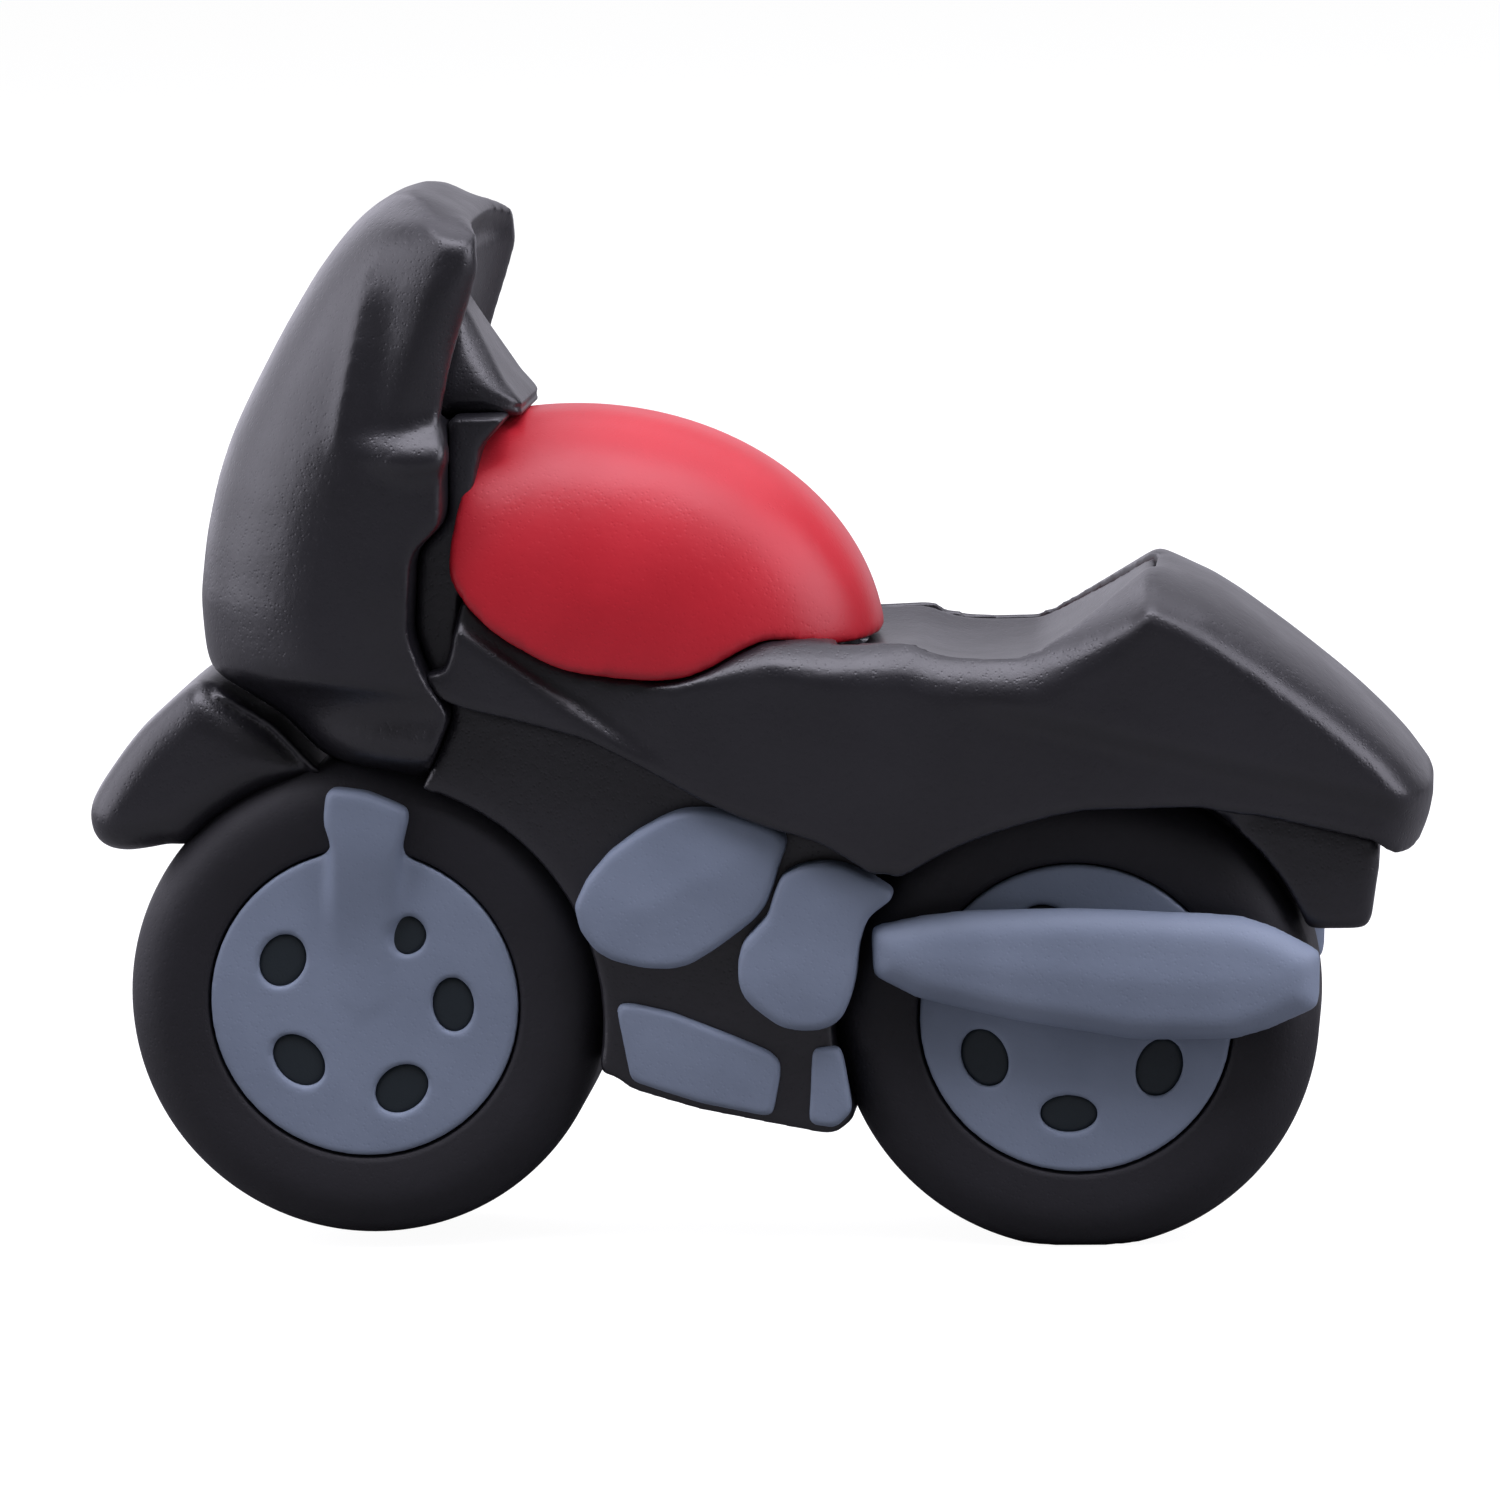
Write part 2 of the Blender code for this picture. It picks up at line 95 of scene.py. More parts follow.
def section(node, y=0.0):
    """The CAD node's outline in the side view where the plane at this y cuts it, as segments."""
    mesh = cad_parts[node].data
    mesh.calc_loop_triangles()
    points = np.empty(len(mesh.vertices) * 3)
    mesh.vertices.foreach_get("co", points)
    corners = np.empty(len(mesh.loop_triangles) * 3, dtype=int)
    mesh.loop_triangles.foreach_get("vertices", corners)
    triangles = (points.reshape(-1, 3) / MM)[corners.reshape(-1, 3)]
    above = triangles[:, :, 1] > y
    crossed = triangles[(above.sum(axis=1) % 3) != 0]
    segments = []
    for triangle in crossed:
        ends = []
        for a, b in ((0, 1), (1, 2), (2, 0)):
            start = triangle[a]
            end = triangle[b]
            if (start[1] > y) != (end[1] > y):
                t = (y - start[1]) / (end[1] - start[1])
                ends.append((start + t * (end - start))[[0, 2]])
        segments.append(ends)
    return np.array(segments)


# ---------------------------------------------------------------- distance fields

class Grid:
    """Sample points around a box, as arrays that broadcast over (x, y, z)."""

    def __init__(self, low, high, step, margin=1.6):
        self.step = step
        self.low = np.array(low) - margin
        counts = np.ceil((np.array(high) + margin - self.low) / step).astype(int) + 1
        axes = [self.low[k] + step * np.arange(counts[k]) for k in range(3)]
        self.x = axes[0][:, None, None]
        self.y = axes[1][None, :, None]
        self.z = axes[2][None, None, :]
        self.side_x = axes[0][:, None]
        self.side_z = axes[2][None, :]

    def lift(self, side):
        """A field of the side view, repeated through the thickness."""
        return side[:, None, :]


def to_segments(grid, segments):
    """Distance in the side view to the nearest segment."""
    nearest = np.full((grid.side_x.shape[0], grid.side_z.shape[1]), 1e9)
    for (ax, az), (bx, bz) in segments:
        dx = bx - ax
        dz = bz - az
        length = max(dx * dx + dz * dz, 1e-12)
        t = np.clip(((grid.side_x - ax) * dx + (grid.side_z - az) * dz) / length, 0.0, 1.0)
        away = (grid.side_x - ax - t * dx) ** 2 + (grid.side_z - az - t * dz) ** 2
        nearest = np.minimum(nearest, away)
    return np.sqrt(nearest)


def inside(grid, segments):
    """True inside the outline, by counting crossings along +X."""
    odd = np.zeros((grid.side_x.shape[0], grid.side_z.shape[1]), dtype=bool)
    for (ax, az), (bx, bz) in segments:
        if az == bz:
            continue
        between = (az > grid.side_z) != (bz > grid.side_z)
        crossing = grid.side_x < (bx - ax) * (grid.side_z - az) / (bz - az) + ax
        odd ^= between & crossing
    return odd


def eased(line, sigma):
    """Gaussian blur along one line of samples; sigma is in grid steps."""
    reach = int(3 * sigma) + 1
    weights = np.exp(-0.5 * (np.arange(-reach, reach + 1) / sigma) ** 2)
    padded = np.pad(line.ravel(), reach, mode="edge")
    return np.convolve(padded, weights / weights.sum(), "valid").reshape(line.shape)


def blurred(field, sigma):
    """The same blur over a side view field, along both of its axes."""
    for axis in (0, 1):
        field = np.apply_along_axis(eased, axis, field, sigma)
    return field


def outline(grid, segments, soft=0.5):
    """Signed distance in the side view, negative inside, with corners eased by `soft`."""
    distance = to_segments(grid, segments)
    distance = np.where(inside(grid, segments), -distance, distance)
    return blurred(distance, soft / grid.step)


def spread_outline(grid, segments, shifts, soft=0.5):
    """The side view of an outline together with copies of it at the given shifts."""
    moved = [segments + shift for shift in ((0.0, 0.0), *shifts)]
    return np.min([outline(grid, lines, soft) for lines in moved], axis=0)


def edge_of(segments, values, key, highest):
    """The outline's outermost point at each value of x, with BY_X as the key, or of z, with BY_Z."""
    found = np.full(np.shape(values), -1e3 if highest else 1e3)
    choose = np.maximum if highest else np.minimum
    for start, end in segments:
        run = end[key] - start[key]
        if abs(run) < 1e-6:
            continue
        t = (values - start[key]) / run
        place = start[1 - key] + t * (end[1 - key] - start[1 - key])
        found = np.where((t >= 0) & (t <= 1), choose(found, place), found)
    return found


def squarely(line, step):
    """Turns a distance measured along an axis into one measured square to a sloping edge."""
    return 1.0 / np.sqrt(1.0 + (np.gradient(line.ravel()) / step) ** 2).reshape(line.shape)


def rolled(grid, deep, full, flat, roll, power=2.0):
    """Half-width `flat` at an edge, swelling on an arc to `full` where `roll` deep."""
    flat = np.broadcast_to(flat, full.shape)
    u = np.maximum(np.abs(grid.y) - grid.lift(flat), 0.0) / grid.lift(full - flat)
    v = grid.lift(np.maximum(roll - deep, 0.0) / roll)
    return ((u ** power + v ** power) ** (1.0 / power) - 1.0) * grid.lift(full - flat)


def rounded(side, across, rim):
    """A slab whose side view distance is `side` and thickness distance is `across`."""
    a = np.maximum(side + rim, 0.0)
    b = np.maximum(across + rim, 0.0)
    return np.sqrt(a * a + b * b) + np.minimum(np.maximum(side + rim, across + rim), 0.0) - rim


def joined(a, b, soft):
    """Both solids as one, with the corner between them filled over `soft`."""
    h = np.clip(0.5 + 0.5 * (b - a) / soft, 0.0, 1.0)
    return b + (a - b) * h - soft * h * (1.0 - h)


def common(a, b, soft=0.3):
    """What two solids share, with the edge between them eased over `soft`."""
    return -joined(-a, -b, soft)


def ramp(value, start, end):
    """Rises smoothly from 0 at `start` to 1 at `end`."""
    t = np.clip((value - start) / (end - start), 0.0, 1.0)
    return t * t * (3.0 - 2.0 * t)


def bump(value, centre, width):
    """A smooth hill, 1 high, around `centre`."""
    return np.exp(-((value - centre) / width) ** 2)


# ---------------------------------------------------------------- making pieces

def mesh_from(name, points, faces):
    mesh = bpy.data.meshes.new(name)
    mesh.from_pydata((np.asarray(points) * MM).tolist(), [], faces)
    mesh.update()
    mesh.shade_smooth()
    made = bpy.data.objects.new(name, mesh)
    bpy.context.scene.collection.objects.link(made)
    return made


def evened(points, quads, passes=3):
    """Takes out the small steps that sampling leaves on shallow slopes."""
    edges = np.concatenate([quads[:, (k, (k + 1) % 4)] for k in range(4)])
    count = np.bincount(edges[:, 0], minlength=len(points))
    for _ in range(passes):
        total = [np.bincount(edges[:, 0], weights=points[edges[:, 1], axis], minlength=len(points))
                 for axis in range(3)]
        points = 0.5 * points + 0.5 * np.stack(total, axis=1) / count[:, None]
    return points


def surface(grid, field):
    """The closed surface where the field is zero, with its faces turned outwards."""
    volume = openvdb.FloatGrid(background=float(grid.step * 3))
    volume.copyFromArray(np.ascontiguousarray(field, dtype=np.float32))
    points, quads = volume.convertToQuads(0.0)
    points = evened(points * grid.step + grid.low, quads)
    a, b, c, d = (points[quads[:, k]] for k in range(4))
    enclosed = np.einsum("ij,ij->i", np.cross(c - a, d - b), (a + b + c + d) / 4).sum()
    if enclosed < 0:
        quads = quads[:, ::-1]
    return points, quads


def dress(made, material, nodes):
    """Gives a piece its material, hangs it under the root, and hides the CAD nodes it stands for."""
    made.data.materials.append(material)
    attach(made, ROOT)
    if nodes:
        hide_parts(*nodes)


def piece(name, grid, field, material, nodes):
    points, quads = surface(grid, field)
    dress(mesh_from(name, points, quads.tolist()), material, nodes)


def both_sides(name, grid, field, material, nodes):
    """The left piece from its field, and the right one as its mirror image."""
    points, quads = surface(grid, field)
    left = mesh_from(name + "_left", points, quads.tolist())
    right = mesh_from(name + "_right", points * (1.0, -1.0, 1.0), quads[:, ::-1].tolist())
    for made, side in ((left, "left"), (right, "right")):
        dress(made, material, [f"{node}_{side}" for node in nodes])


def grid_of(nodes, step, margin=1.6):
    lows, highs = zip(*(box_mm(node) for node in nodes))
    return Grid(np.min(lows, axis=0), np.max(highs, axis=0), step, margin)


# ---------------------------------------------------------------- materials

def tree_of(owner):
    """The shader nodes of a material or world, and the wires between them."""
    owner.use_nodes = True
    return owner.node_tree.nodes, owner.node_tree.links


def added(nodes, kind, values):
    """A new shader node with the given input values."""
    made = nodes.new(kind)
    for socket, value in values.items():
        made.inputs[socket].default_value = value
    return made


def foam(name, colour, light, roughness, spread, pore_m=0.00005, ior=1.45):
    """Moulded foam skin: slow colour change, uneven gloss, fine pores and slow waviness."""
    material = bpy.data.materials.new(name)
    nodes, wires = tree_of(material)
    shader = nodes["Principled BSDF"]
    shader.inputs["IOR"].default_value = ior
    place = nodes.new("ShaderNodeTexCoord")

    broad = added(nodes, "ShaderNodeTexNoise", {"Scale": 90.0, "Detail": 4.0})
    mottle = added(nodes, "ShaderNodeMapRange", {"From Min": 0.35, "From Max": 0.7})
    tint = nodes.new("ShaderNodeMix")
    tint.data_type = "RGBA"
    tint.inputs["A"].default_value = (*colour, 1.0)
    tint.inputs["B"].default_value = (*light, 1.0)
    wires.new(broad.outputs["Fac"], mottle.inputs["Value"])
    wires.new(mottle.outputs["Result"], tint.inputs["Factor"])
    wires.new(tint.outputs["Result"], shader.inputs["Base Color"])

    gloss = added(nodes, "ShaderNodeTexNoise", {"Scale": 260.0, "Detail": 5.0})
    limits = {"To Min": roughness - spread, "To Max": roughness + spread}
    gloss_range = added(nodes, "ShaderNodeMapRange", limits)
    wires.new(gloss.outputs["Fac"], gloss_range.inputs["Value"])
    wires.new(gloss_range.outputs["Result"], shader.inputs["Roughness"])

    wave = added(nodes, "ShaderNodeTexNoise", {"Scale": 160.0})
    wave_bump = added(nodes, "ShaderNodeBump", {"Strength": 0.4, "Distance": 0.0002})
    grain = added(nodes, "ShaderNodeTexNoise", {"Scale": 1500.0, "Detail": 3.0})
    grain_bump = added(nodes, "ShaderNodeBump", {"Strength": 0.5, "Distance": pore_m})
    pores = added(nodes, "ShaderNodeTexVoronoi", {"Scale": 2600.0})
    pits = added(nodes, "ShaderNodeMapRange", {"From Max": 0.35})
    pit_bump = added(nodes, "ShaderNodeBump", {"Strength": 0.35, "Distance": pore_m})
    wires.new(wave.outputs["Fac"], wave_bump.inputs["Height"])
    wires.new(grain.outputs["Fac"], grain_bump.inputs["Height"])
    wires.new(pores.outputs["Distance"], pits.inputs["Value"])
    wires.new(pits.outputs["Result"], pit_bump.inputs["Height"])
    wires.new(wave_bump.outputs["Normal"], grain_bump.inputs["Normal"])
    wires.new(grain_bump.outputs["Normal"], pit_bump.inputs["Normal"])
    wires.new(pit_bump.outputs["Normal"], shader.inputs["Normal"])

    for texture in (broad, gloss, pores, grain, wave):
        wires.new(place.outputs["Object"], texture.inputs["Vector"])
    return material


BLACK = foam("black_foam_skin", (0.0075, 0.007, 0.0095), (0.011, 0.0105, 0.014), 0.36, 0.07, ior=1.58)
TYRE = foam("tyre_foam_skin", (0.007, 0.0065, 0.009), (0.010, 0.0095, 0.013), 0.62, 0.07)
RED = foam("red_paint_skin", (0.43, 0.011, 0.021), (0.50, 0.016, 0.028), 0.40, 0.05, pore_m=0.00003)
GREY = foam("grey_paint_skin", (0.175, 0.212, 0.278), (0.215, 0.258, 0.335), 0.60, 0.06, pore_m=0.00004)
SPOT = foam("spot_paint_skin", (0.006, 0.012, 0.016), (0.009, 0.016, 0.020), 0.55, 0.05, pore_m=0.00003)


# ---------------------------------------------------------------- wheels

TYRE_OUTER_Y = 9.0
HUB_FLOOR_Y = 7.3
DISC_BACK_Y = HUB_FLOOR_Y + 0.1
DISC_FACE_Y = 8.75
SPOT_FACE_Y = 8.4
DISC_CROWN = 0.25
DISC_RIM = 0.22
DISC_GAP = 0.15
# Each printed oval laps this far under the paint round it
OVAL_LAP = 0.06
OVAL_RIM = 0.1
FORK_BACK_Y = HUB_FLOOR_Y + 0.4
FORK_SINK = 0.4
FORK_RISE = 2.0
FORK_RIM = 0.7
FORK_FILLET = 1.3
TYRE_BULGE = 0.40
TYRE_SHOULDER = 3.6
TREAD_HALF = 2.5
TURN_STEPS = 180


def axle(wheel):
    """The x and z of a wheel's middle, and the radius of its painted disc."""
    low, high = box_mm(f"{wheel}_disc_left")
    return (low[0] + high[0]) / 2, (low[2] + high[2]) / 2, (high[0] - low[0]) / 2


def tyre_profile(disc_radius, radius):
    """Half of the turned profile as (radius, y): a recess for the disc, a sidewall and a shoulder."""
    rim = disc_radius + DISC_GAP
    lip = rim + 0.12
    lip_y = TYRE_OUTER_Y - TYRE_BULGE
    profile = [(0.0, HUB_FLOOR_Y), (rim - 0.4, HUB_FLOOR_Y), (rim, HUB_FLOOR_Y + 0.3),
               (rim, TYRE_OUTER_Y - 0.62), (lip, lip_y)]
    for step in range(1, 7):
        t = step / 7
        bulge = TYRE_BULGE * math.sin(t * math.pi / 2)
        profile.append((lip + t * (radius - TYRE_SHOULDER - rim), lip_y + bulge))
    for step in range(13):
        angle = math.radians(90 * step / 12)
        profile.append((radius - TYRE_SHOULDER + TYRE_SHOULDER * math.sin(angle),
                        TYRE_OUTER_Y - TYRE_SHOULDER + TYRE_SHOULDER * math.cos(angle)))
    profile.append((radius, TREAD_HALF))
    return profile


def tyre(wheel):
    """A turned foam ring with soft shoulders, a bulged sidewall, and a flat where it stands."""
    x, z, disc_radius = axle(wheel)
    low, high = box_mm(f"{wheel}_tyre")
    profile = tyre_profile(disc_radius, (high[0] - low[0]) / 2)
    profile += [(r, -y) for r, y in reversed(profile)]
    ring = profile[1:-1]
    count = len(ring)
    points = [(x, HUB_FLOOR_Y, z), (x, -HUB_FLOOR_Y, z)]
    faces = []
    for step in range(TURN_STEPS):
        angle = 2 * math.pi * step / TURN_STEPS
        points += [(x + r * math.cos(angle), y, max(z + r * math.sin(angle), 0.0)) for r, y in ring]
        here = 2 + step * count
        there = 2 + ((step + 1) % TURN_STEPS) * count
        faces += [(0, there, here), (1, here + count - 1, there + count - 1)]
        faces += [(here + k, there + k, there + k + 1, here + k + 1) for k in range(count - 1)]
    made = mesh_from(f"{wheel}_tyre_skin", points, faces)
    made.data.set_sharp_from_angle(angle=math.radians(50))
    dress(made, TYRE, [f"{wheel}_tyre"])


def fork_field(grid, axle_z, disc_radius):
    """The fork leg's foot: sunk in the disc's middle, and standing out more towards its top."""
    side = outline(grid, section("fork_leg_left", FORK_Y), soft=0.45)
    rise = FORK_RISE * ramp(grid.side_z, axle_z + 1.0, axle_z + disc_radius + 2.0)
    face = -grid.y - grid.lift(DISC_FACE_Y - FORK_SINK + rise)
    return rounded(grid.lift(side), np.maximum(face, grid.y + FORK_BACK_Y), FORK_RIM)


def disc(wheel):
    """Painted disc with oval windows, and the printed ovals that fill them."""
    x, z, radius = axle(wheel)
    nodes = [f"{wheel}_disc_left"] + (["fork_leg_left"] if wheel == "front" else [])
    grid = grid_of(nodes, FINE)
    away = np.sqrt((grid.side_x - x) ** 2 + (grid.side_z - z) ** 2)
    with_windows = outline(grid, section(f"{wheel}_disc_left", DISC_Y), soft=0.25)
    crown = DISC_CROWN * (1.0 - (away / radius) ** 2)
    face = -grid.y - (DISC_FACE_Y + grid.lift(crown))
    paint = rounded(grid.lift(with_windows), np.maximum(face, grid.y + DISC_BACK_Y), DISC_RIM)
    replaced = [f"{wheel}_disc"]
    if wheel == "front":
        paint = joined(paint, fork_field(grid, z, radius), FORK_FILLET)
        replaced.append("fork_leg")
    both_sides(f"{wheel}_disc_paint", grid, paint, GREY, replaced)

    in_window = np.maximum(away - radius + 1.0, -with_windows - OVAL_LAP)
    face = -grid.y - (SPOT_FACE_Y + grid.lift(crown))
    ovals = rounded(grid.lift(in_window), np.maximum(face, grid.y + DISC_BACK_Y), OVAL_RIM)
    both_sides(f"{wheel}_disc_ovals", grid, ovals, SPOT, [])


# ---------------------------------------------------------------- outlines of the black zones

WHEEL_GAP = 0.1
# A zone grows only towards neighbours that are nearer than this
NEAR = 1.2


def wheel_drum(grid, wheel):
    """Distance to a wheel's tread, without end in its thickness."""
    low, high = box_mm(f"{wheel}_tyre")
    radius = (high[0] - low[0]) / 2
    x = (low[0] + high[0]) / 2
    z = high[2] - radius
    away = np.sqrt((grid.side_x - x) ** 2 + (grid.side_z - z) ** 2)
    return grid.lift(away - radius - WHEEL_GAP)


def wheel_room(grid, wheel):
    """Distance to the room that a wheel takes, which ends beside the tyre."""
    return np.maximum(wheel_drum(grid, wheel), np.abs(grid.y) - TYRE_OUTER_Y - WHEEL_GAP)


def zone_side(grid, node, side_y, soft):
    """What a zone covers in the side view, in its middle or at its sides."""
    lines = (section(node, MIDDLE_Y), section(node, side_y))
    return np.minimum(*(outline(grid, line, soft) for line in lines)) - SEAM


def fairing_side(grid):
    return zone_side(grid, "front_fairing", WING_Y, soft=0.6)


def body_side(grid):
    return zone_side(grid, "main_body", FLANK_Y, soft=0.5)


def meeting(grid, node, shifts, neighbours):
    """A node's outline, grown by the shifts to meet its neighbours, and the cut where they begin."""
    lines = section(node, MIDDLE_Y)
    own = outline(grid, lines) - SEAM
    grown = spread_outline(grid, lines, shifts) - SEAM
    others = np.min(neighbours, axis=0)
    return np.minimum(own, np.maximum(grown, others - NEAR)), CLEAR - others


def slab(grid, side, cut, half, rim):
    """A flat-sided zone with a rounded rim, less what lies in the cut."""
    return np.maximum(rounded(grid.lift(side), np.abs(grid.y) - half, rim), grid.lift(cut))


# ---------------------------------------------------------------- nose and windscreen

# The front edge is read from this level up, and the crown line back to where it has dropped this far
NOSE_FOOT_Z = 36.5
CROWN_DROP = 3.0
# Blur of both lines
LINE_SOFT = 0.8
# The rim of the walls is sharp at the body and soft round the windscreen
RIM_LOW = 0.6
RIM_GROWTH = 2.2
RIM_Z = (65.0, 72.0)
# The windscreen's sides are scooped behind a ridge, which leans back as it rises
RIDGE_X = -29.8
RIDGE_Z = 65.2
RIDGE_LEAN = 0.17
RIDGE_REACH = (-0.9, 2.2)
SCOOP_TILT = 0.13
SCOOP_FOOT_Z = (63.4, 66.0)
SCOOP_TOP_Z = (72.0, 81.0)
BEAD_FOOT_Z = (62.0, 67.0)
BEAD_TOP_Z = (75.0, 79.0)
BEAD_HEIGHT = 0.3
BEAD_WIDTH = 0.8
# Below the scoops the sides draw in towards the body
DRAW_X = (-34.0, -25.0)
DRAW_Z = (43.0, 54.0)
DRAW = 1.2
# Each wing turns inwards to its rear edge, a line that leans forwards as it falls
WING_X = -19.1
WING_Z = 77.6
WING_LEAN = 0.32
WING_FOOT_Z = (63.5, 67.0)
WING_REACH = (-4.0, 0.8)
WING_TURN = 1.8
# Between the wings the rear is a trough
TROUGH_FOOT_Z = (64.5, 68.0)
TROUGH_HALF = 12.3
TROUGH_DEPTH = 2.4
REAR_EDGE_X = -26.0
REAR_EDGE_Z = (64.0, 79.0)
BROW_LENGTH = 3.3
BROW_HEIGHT = 2.2
BROW_SINK = 1.4
BROW_ARCH = 0.12
CONSOLE_SINK = 0.7
CONSOLE_LEAN = 3.0
CONSOLE_RIM = 2.0


def fairing_half(grid, widest):
    """Half-width of the fairing at each place of the side view."""
    past_ridge = grid.side_x - (RIDGE_X + (grid.side_z - RIDGE_Z) * RIDGE_LEAN)
    scoop = ramp(past_ridge, *RIDGE_REACH) * (1.0 - SCOOP_TILT * past_ridge)
    scoop *= ramp(grid.side_z, *SCOOP_FOOT_Z) * (1.0 - ramp(grid.side_z, *SCOOP_TOP_Z))
    bead = bump(past_ridge, RIDGE_REACH[0], BEAD_WIDTH) * ramp(grid.side_z, *BEAD_FOOT_Z)
    bead *= 1.0 - ramp(grid.side_z, *BEAD_TOP_Z)
    draw = ramp(grid.side_x, *DRAW_X) * (1.0 - ramp(grid.side_z, *DRAW_Z))
    past_wing = grid.side_x - WING_X + WING_LEAN * (WING_Z - grid.side_z)
    turn = ramp(past_wing, *WING_REACH) * ramp(grid.side_z, *WING_FOOT_Z)
    return widest - scoop + BEAD_HEIGHT * bead - DRAW * draw - WING_TURN * turn


def trough_field(grid, wing):
    """What is left in front of the trough, measured from the rear edge of the wings."""
    place = wing.mean(axis=1)
    rear = (place[:, 1] > REAR_EDGE_Z[0]) & (place[:, 1] < REAR_EDGE_Z[1]) & (place[:, 0] > REAR_EDGE_X)
    level = 1.0 - np.clip(np.abs(grid.y) / TROUGH_HALF, 0.0, 1.0) ** 3.5
    return TROUGH_DEPTH * ramp(grid.z, *TROUGH_FOOT_Z) * level - grid.lift(to_segments(grid, wing[rear]))


def brow_field(grid, widest):
    """The low dome over each grip, with an arched underside and a blunt rear end."""
    low, high = box_mm("handlebar_grip_right")
    along = grid.x - (low[0] + high[0]) / 2
    up = grid.z - low[2]
    out = np.abs(grid.y) - widest + BROW_SINK
    away = np.sqrt((along / BROW_LENGTH) ** 2 + ((up - 0.1) / BROW_HEIGHT) ** 2 + (out / BROW_HEIGHT) ** 2)
    dome = common((away - 1.0) * BROW_HEIGHT, 0.2 - up + BROW_ARCH * along ** 2, 1.0)
    return common(dome, grid.x - high[0], 1.0)


def console_field(grid):
    """The wedge between the windscreen's wings, with its sides leaning in to the top."""
    low, high = box_mm("console")
    side = spread_outline(grid, section("console"), [(0.0, -CONSOLE_SINK)], soft=0.2) - SEAM
    half = high[1] - CONSOLE_LEAN * ramp(grid.side_z, low[2], high[2])
    return rounded(grid.lift(side), np.abs(grid.y) - grid.lift(half), CONSOLE_RIM)


def fairing():
    """Nose and windscreen: round front, hollow rear, scooped sides, and a brow at each grip."""
    nodes = ["front_fairing", "handlebar_grip_left", "handlebar_grip_right"]
    grid = grid_of(nodes, COARSE)
    low, high = box_mm("front_fairing")
    middle = section("front_fairing", MIDDLE_Y)
    wing = section("front_fairing", WING_Y)
    levels = np.clip(grid.side_z, NOSE_FOOT_Z, high[2] - 0.1)
    front = edge_of(np.concatenate((middle, wing)), levels, BY_Z, highest=False)
    front = eased(front, LINE_SOFT / grid.step)
    crown_end = edge_of(middle, np.array([high[2] - CROWN_DROP]), BY_Z, highest=True)[0] - 0.3
    crown = edge_of(middle, np.clip(grid.side_x, low[0] + 0.5, crown_end), BY_X, highest=True)
    crown = eased(crown, LINE_SOFT / grid.step)

    half = fairing_half(grid, high[1])
    rim = RIM_LOW + RIM_GROWTH * ramp(grid.side_z, *RIM_Z)
    nose_depth = (grid.side_x - front) * squarely(front, grid.step)
    nose = rolled(grid, nose_depth, half, flat=1.5, roll=13.0)
    top_depth = (crown - grid.side_z) * squarely(crown, grid.step)
    top = rolled(grid, top_depth, half, flat=3.0, roll=4.2, power=2.2)
    walls = rounded(grid.lift(fairing_side(grid)), np.abs(grid.y) - grid.lift(half), grid.lift(rim))
    field = common(common(nose, top, 0.5), walls, 0.3)
    field = common(field, trough_field(grid, wing), 0.8)
    field = np.maximum(field, SEAM - console_field(grid))
    field = joined(field, brow_field(grid, high[1]), 1.6)
    field = np.maximum(field, -wheel_room(grid, "front"))
    piece("fairing_skin", grid, field, BLACK, nodes)


def console():
    grid = grid_of(["console"], FINE)
    piece("console_skin", grid, console_field(grid), BLACK, ["console"])


# ---------------------------------------------------------------- fender and steering head

# How much bigger the steering head is than its CAD solid, in the side view and to each side
HEAD_GROWTH = 0.6
HEAD_SPREAD = 0.5


def fender():
    grid = grid_of(["front_fender"], MEDIUM)
    side, cut = meeting(grid, "front_fender", [(2.0, 0.0)], [fairing_side(grid)])
    field = slab(grid, side, cut, half_width("front_fender"), rim=3.4)
    field = np.maximum(field, CLEAR - wheel_room(grid, "front"))
    piece("fender_skin", grid, field, BLACK, ["front_fender"])


def steering_head():
    """Fills what shows between the fairing, the tank and the body."""
    grid = grid_of(["steering_head"], MEDIUM)
    _, high = box_mm("steering_head")
    side = outline(grid, section("steering_head"), soft=0.3) - HEAD_GROWTH
    side = np.maximum(side, np.maximum(CLEAR - fairing_side(grid), grid.side_z - high[2]))
    field = rounded(grid.lift(side), np.abs(grid.y) - high[1] - HEAD_SPREAD, 0.3)
    piece("steering_head_skin", grid, field, BLACK, ["steering_head"])


# ---------------------------------------------------------------- tank

TANK_X = -14.5
TANK_Z = 46.0
TANK_HALF = 13.6
# Turns the crown's shape value into a distance
TANK_SIZE = 17.0
# How much further forwards the tank reaches than its CAD solid
TANK_REACH = 0.6
# Powers that make the crown fuller than an ellipsoid, in the side view, across it and as a whole
TANK_SIDE_POWER = 2.5
TANK_ACROSS_POWER = 2.4
TANK_POWER = 2.45
# Its lower rear corner is fuller than the CAD solid, so that it meets the seat
HEEL = 0.9
HEEL_X = (0.0, 6.0)
HEEL_Z = (49.0, 53.0)


def tank_field(grid):
    """The tank is a full, round crown that ends flush along its painted edges."""
    _, high = box_mm("fuel_tank")
    side = spread_outline(grid, section("fuel_tank"), [(-TANK_REACH, 0.0)]) - SEAM
    side -= HEEL * ramp(grid.side_x, *HEEL_X) * (1.0 - ramp(grid.side_z, *HEEL_Z))
    along = (grid.side_x - TANK_X) / (high[0] - TANK_X)
    up = (grid.side_z - TANK_Z) / (high[2] - TANK_Z)
    out = np.sqrt(along ** 2 + up ** 2)
    across = np.abs(grid.y) / TANK_HALF
    shell = (grid.lift(out) ** TANK_SIDE_POWER + across ** TANK_ACROSS_POWER) ** (1 / TANK_POWER)
    return common((shell - 1.0) * TANK_SIZE, grid.lift(side), 0.35)


